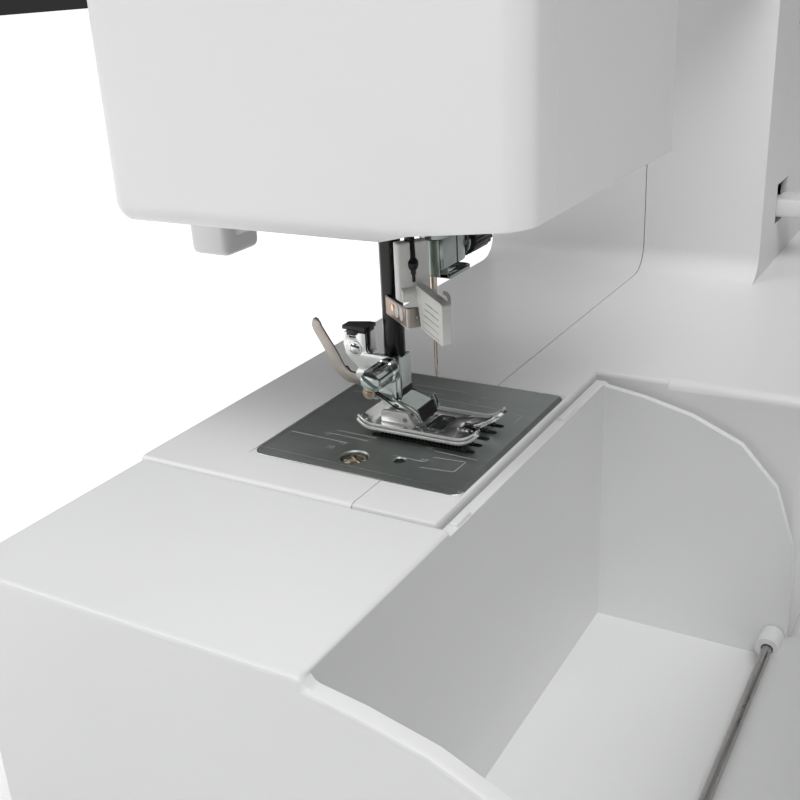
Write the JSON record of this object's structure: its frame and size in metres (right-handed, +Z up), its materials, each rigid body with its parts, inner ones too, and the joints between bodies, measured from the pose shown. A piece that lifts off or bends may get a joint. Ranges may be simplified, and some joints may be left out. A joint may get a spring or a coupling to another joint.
{
  "type": "sewing machine",
  "caption": "Domestic free-arm zigzag sewing machine with an extension table, its compartment open, foot down and needle up.",
  "frame": {"origin": "middle of the machine's footprint, on the surface that its rubber feet stand on", "axes": "+X to the operator's right, towards the handwheel; -Y towards the operator; +Z up, along the needle bar"},
  "size_m": [0.415, 0.2226, 0.3165],
  "materials": {
    "white_plastic": "smooth satin moulding",
    "grey_plastic": "fine matt texture",
    "black_plastic": "fine matt texture",
    "rubber": "matt",
    "aluminium": "as cast",
    "steel": "ground",
    "chrome": "polished plate",
    "plate_steel": "dark brushed",
    "black_steel": "black oxide",
    "brass": "sintered",
    "clear_plastic": "clear moulding"
  },
  "bodies": {
    "root": {"front_shell": "white_plastic", "rear_shell": "white_plastic", "face_cover": "white_plastic", "base_plate": "grey_plastic", "rubber_foot_left": "rubber", "rubber_foot_front": "rubber", "rubber_foot_right_front": "rubber", "rubber_foot_right_rear": "rubber", "shuttle_cover": "white_plastic", "shell_screw": "steel", "inlet_socket": "black_plastic", "cast_frame": "aluminium", "timing_belt": "rubber", "motor_belt": "rubber", "drive_motor": "steel", "needle_bar_bush": "brass", "bobbin_case": "chrome", "needle_plate": "plate_steel", "plate_screw": "chrome", "spool_pin": "white_plastic"},
    "extension_table": {"extension_table": "white_plastic", "cover_hinge_rod": "steel"},
    "compartment_cover": {"compartment_cover": "white_plastic"},
    "main_shaft": {"handwheel": "white_plastic", "upper_shaft": "steel", "needle_crank": "steel", "upper_timing_pulley": "black_plastic"},
    "lower_shaft": {"lower_shaft": "steel", "lower_timing_pulley": "black_plastic"},
    "rotary_hook": {"rotary_hook": "chrome"},
    "motor_pulley": {"motor_pulley": "steel"},
    "bobbin": {"bobbin": "clear_plastic"},
    "needle_bar": {"needle_bar": "chrome", "needle_bar_driver": "steel", "needle_clamp": "chrome", "needle": "steel"},
    "needle_clamp_screw": {"needle_clamp_screw": "black_plastic"},
    "needle_bar_link": {"needle_bar_link": "steel"},
    "take_up_lever": {"take_up_lever": "chrome"},
    "presser_bar": {"presser_bar": "black_steel", "presser_guide": "steel", "foot_holder": "chrome", "holder_bracket": "chrome", "presser_spring": "steel"},
    "presser_lifter": {"presser_lifter": "white_plastic"},
    "holder_screw": {"holder_screw": "chrome"},
    "release_lever": {"release_lever": "steel"},
    "presser_foot": {"presser_foot": "chrome"},
    "threader_shaft": {"threader_shaft": "black_steel"},
    "threader_head": {"threader_carriage": "white_plastic", "threader_hook": "steel"},
    "feed_carrier": {"feed_carrier": "aluminium"},
    "feed_dog": {"feed_dog": "steel"},
    "power_switch": {"power_switch": "black_plastic"},
    "carry_handle": {"carry_handle": "white_plastic"},
    "stitch_dial": {"stitch_dial": "grey_plastic"},
    "length_dial": {"length_dial": "grey_plastic"},
    "tension_dial": {"tension_dial": "grey_plastic"},
    "reverse_lever": {"reverse_lever": "white_plastic"},
    "bobbin_winder": {"bobbin_winder": "white_plastic"}
  },
  "joints": [
    {"name": "main_shaft_turn", "type": "hinge", "parent": "root", "child": "main_shaft", "pos_m": [0.0525, 0.01935, 0.257], "axis": [1, 0, 0], "continuous": true},
    {"name": "lower_shaft_turn", "type": "hinge", "parent": "root", "child": "lower_shaft", "pos_m": [0.0025, 0.05535, 0.066], "axis": [1, 0, 0], "continuous": true},
    {"name": "hook_turn", "type": "hinge", "parent": "root", "child": "rotary_hook", "pos_m": [-0.0975, 0.02055, 0.066], "axis": [0, 1, 0], "continuous": true},
    {"name": "motor_turn", "type": "hinge", "parent": "root", "child": "motor_pulley", "pos_m": [0.1775, 0.04735, 0.162], "axis": [1, 0, 0], "continuous": true},
    {"name": "bobbin_turn", "type": "hinge", "parent": "root", "child": "bobbin", "pos_m": [-0.0975, 0.02275, 0.066], "axis": [0, 1, 0], "continuous": true},
    {"name": "needle_bar_slide", "type": "slide", "parent": "root", "child": "needle_bar", "axis": [0, 0, 1], "range_m": [-0.0305, 0]},
    {"name": "needle_clamp_screw_turn", "type": "hinge", "parent": "needle_bar", "child": "needle_clamp_screw", "pos_m": [-0.0825, 0.01935, 0.143], "axis": [1, 0, 0], "continuous": true},
    {"name": "link_swing", "type": "hinge", "parent": "needle_bar", "child": "needle_bar_link", "pos_m": [-0.089, 0.01935, 0.22725], "axis": [1, 0, 0], "range_deg": [-19.8, 19.8]},
    {"name": "take_up_swing", "type": "hinge", "parent": "root", "child": "take_up_lever", "pos_m": [-0.078, 0.00535, 0.232], "axis": [1, 0, 0], "range_deg": [0, 45]},
    {"name": "presser_bar_slide", "type": "slide", "parent": "root", "child": "presser_bar", "axis": [0, 0, 1], "range_m": [0, 0.007], "deforming": ["presser_spring"]},
    {"name": "lifter_turn", "type": "hinge", "parent": "root", "child": "presser_lifter", "pos_m": [-0.079, 0.03335, 0.19], "axis": [1, 0, 0], "range_deg": [0, 60]},
    {"name": "holder_screw_turn", "type": "hinge", "parent": "presser_bar", "child": "holder_screw", "pos_m": [-0.1039, 0.03135, 0.111], "axis": [1, 0, 0], "continuous": true},
    {"name": "release_lever_press", "type": "hinge", "parent": "presser_bar", "child": "release_lever", "pos_m": [-0.1022, 0.03915, 0.1023], "axis": [1, 0, 0], "range_deg": [0, 12], "stiffness_Nm_per_rad": 0.002, "springref_deg": -17.19},
    {"name": "foot_tilt", "type": "hinge", "parent": "presser_bar", "child": "presser_foot", "pos_m": [-0.0975, 0.02755, 0.0962], "axis": [1, 0, 0], "range_deg": [-5, 2]},
    {"name": "threader_slide", "type": "slide", "parent": "root", "child": "threader_shaft", "axis": [0, 0, 1], "range_m": [-0.011, 0], "stiffness_N_per_m": 40, "springref_m": 0.006},
    {"name": "threader_swing", "type": "hinge", "parent": "threader_shaft", "child": "threader_head", "pos_m": [-0.1058, 0.0221, 0.1326], "axis": [0, 0, 1], "range_deg": [0, 20]},
    {"name": "feed_advance", "type": "slide", "parent": "root", "child": "feed_carrier", "axis": [0, 1, 0], "range_m": [-0.002, 0.002]},
    {"name": "feed_drop", "type": "slide", "parent": "feed_carrier", "child": "feed_dog", "axis": [0, 0, 1], "range_m": [-0.0035, 0]},
    {"name": "power_switch_rock", "type": "hinge", "parent": "root", "child": "power_switch", "pos_m": [0.1835, 0.03935, 0.074], "axis": [0, 1, 0], "range_deg": [0, 8]},
    {"name": "handle_lift", "type": "hinge", "parent": "root", "child": "carry_handle", "pos_m": [0.0375, 0.06435, 0.302], "axis": [1, 0, 0], "range_deg": [-90, 0]},
    {"name": "stitch_dial_turn", "type": "hinge", "parent": "root", "child": "stitch_dial", "pos_m": [0.1355, -0.02695, 0.242], "axis": [0, 1, 0], "continuous": true},
    {"name": "length_dial_turn", "type": "hinge", "parent": "root", "child": "length_dial", "pos_m": [0.1355, -0.02695, 0.197], "axis": [0, 1, 0], "range_deg": [0, 270]},
    {"name": "tension_dial_turn", "type": "hinge", "parent": "root", "child": "tension_dial", "pos_m": [-0.0675, -0.02665, 0.28], "axis": [0, 1, 0], "range_deg": [-150, 150]},
    {"name": "reverse_press", "type": "hinge", "parent": "root", "child": "reverse_lever", "pos_m": [0.1175, -0.02065, 0.115], "axis": [1, 0, 0], "range_deg": [0, 12], "stiffness_Nm_per_rad": 0.02, "springref_deg": -8.59},
    {"name": "winder_turn", "type": "hinge", "parent": "root", "child": "bobbin_winder", "pos_m": [0.1585, 0.04135, 0.297], "axis": [0, 0, 1], "continuous": true},
    {"name": "table_slide", "type": "slide", "parent": "root", "child": "extension_table", "axis": [-1, 0, 0], "range_m": [0, 0.12]},
    {"name": "cover_swing", "type": "hinge", "parent": "extension_table", "child": "compartment_cover", "pos_m": [-0.0975, -0.06465, 0.015], "axis": [1, 0, 0], "range_deg": [-60, 0]}
  ],
  "couplings": [
    {"joint": "lower_shaft_turn", "follows": "main_shaft_turn", "ratio": 1},
    {"joint": "hook_turn", "follows": "main_shaft_turn", "ratio": 2},
    {"joint": "motor_turn", "follows": "main_shaft_turn", "ratio": 4.5},
    {"joint": "take_up_swing", "follows": "needle_bar_slide", "rad_per_m": -25.75},
    {"joint": "presser_bar_slide", "follows": "lifter_turn", "m_per_rad": 0.0066845}
  ]
}
